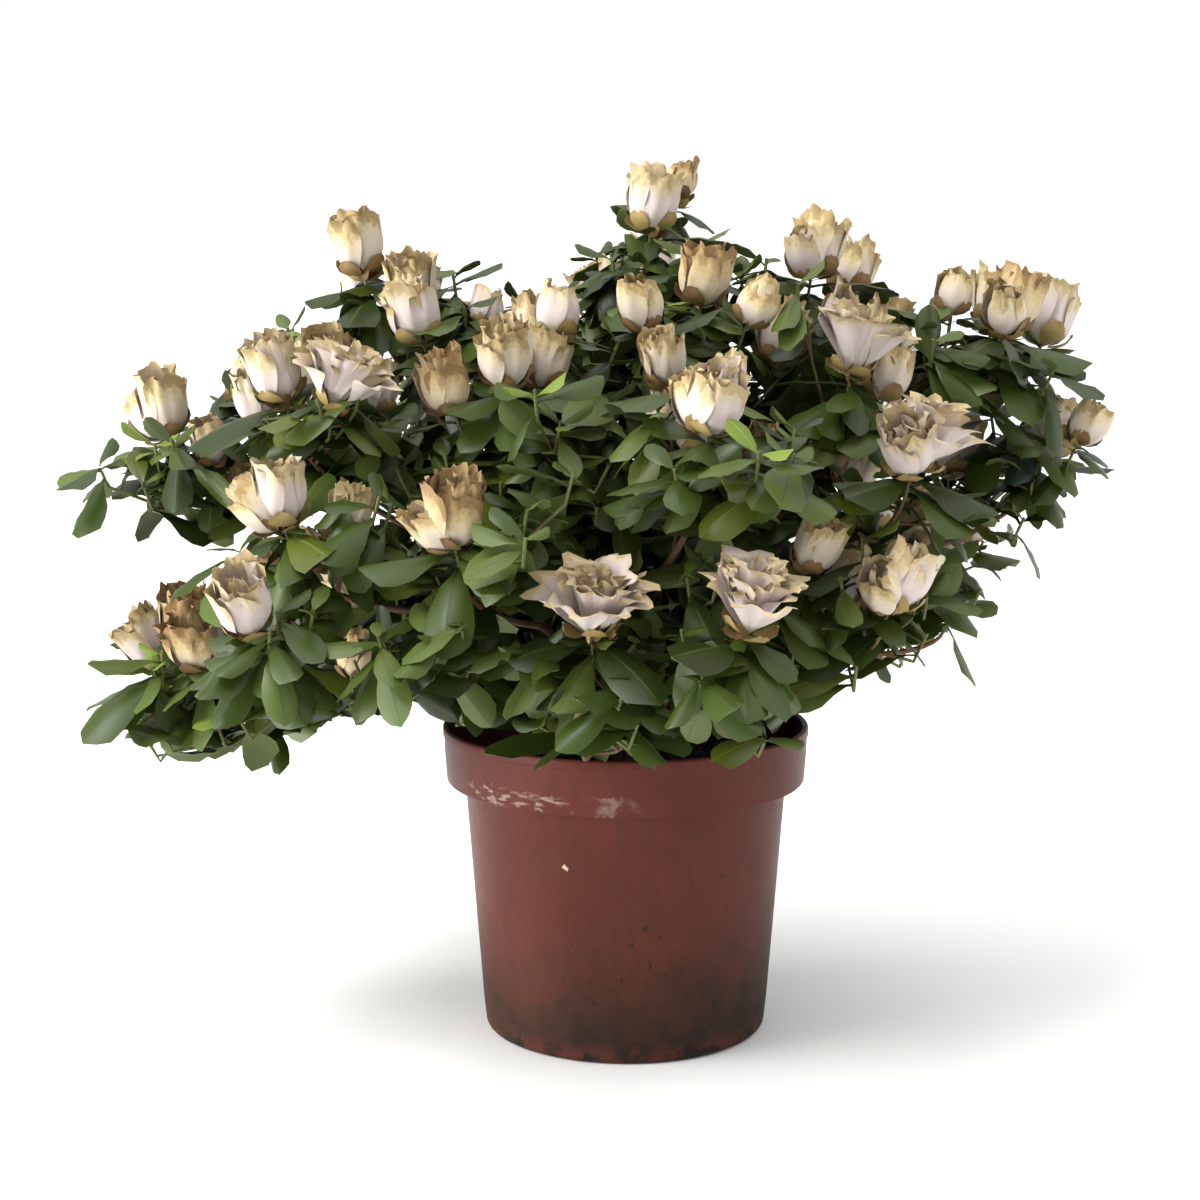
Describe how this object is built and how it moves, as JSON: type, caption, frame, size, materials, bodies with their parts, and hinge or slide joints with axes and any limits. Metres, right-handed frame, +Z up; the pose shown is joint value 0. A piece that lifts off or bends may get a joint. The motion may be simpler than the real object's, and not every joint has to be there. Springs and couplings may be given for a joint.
{
  "type": "azalea shrub in pot",
  "caption": "Compact evergreen azalea with whorls of small oval leaves and cream, half-open ruffled blossoms, growing in a round tapering plastic nursery pot with a deep rim band.",
  "frame": {"origin": "the middle of the pot's flat underside", "axes": "+Z points up the stem, -Y is the front of the plant and +X is to the viewer's right"},
  "size_m": [0.4213, 0.3814, 0.3549],
  "materials": {
    "pot": "reddish-brown moulded plastic with a satin sheen, dusted with soil towards the foot",
    "compost": "damp dark peat compost, crumbly",
    "bark": "thin grey-brown bark, fissured on the stem and smoother on the boughs",
    "foliage": "small leathery deep green leaves with a soft sheen, paler beneath, on reddish twigs, with thin matt petals of pinkish white to cream and pale tan ruffled edges"
  },
  "bodies": {
    "root": {"pot": "pot", "soil": "compost", "stem": "bark", "bough_back_crest": "bark", "bough_back_left": "bark", "bough_back_left_low": "bark", "bough_back_low": "bark", "bough_back_right": "bark", "bough_back_right_low": "bark", "bough_crest": "bark", "bough_left_crest": "bark", "bough_left_front": "bark", "bough_left_low": "bark", "bough_left_shoulder": "bark", "bough_left_under": "bark", "bough_left_upper": "bark", "bough_low_left": "bark", "bough_low_middle": "bark", "bough_low_right": "bark", "bough_mid_crest": "bark", "bough_mid_left": "bark", "bough_mid_left_crest": "bark", "bough_middle": "bark", "bough_right_crest": "bark", "bough_right_edge": "bark", "bough_right_front": "bark", "bough_right_low": "bark", "bough_right_middle": "bark", "bough_right_shoulder": "bark", "bough_right_upper": "bark", "bough_skirt": "bark", "foliage_back_crest": "foliage", "foliage_back_left": "foliage", "foliage_back_left_low": "foliage", "foliage_back_low": "foliage", "foliage_back_right": "foliage", "foliage_back_right_low": "foliage", "foliage_crest": "foliage", "foliage_left_crest": "foliage", "foliage_left_front": "foliage", "foliage_left_low": "foliage", "foliage_left_shoulder": "foliage", "foliage_left_under": "foliage", "foliage_left_upper": "foliage", "foliage_low_left": "foliage", "foliage_low_middle": "foliage", "foliage_low_right": "foliage", "foliage_mid_crest": "foliage", "foliage_mid_left": "foliage", "foliage_mid_left_crest": "foliage", "foliage_middle": "foliage", "foliage_right_crest": "foliage", "foliage_right_edge": "foliage", "foliage_right_front": "foliage", "foliage_right_low": "foliage", "foliage_right_middle": "foliage", "foliage_right_shoulder": "foliage", "foliage_right_upper": "foliage", "foliage_skirt": "foliage"}
  },
  "joints": []
}
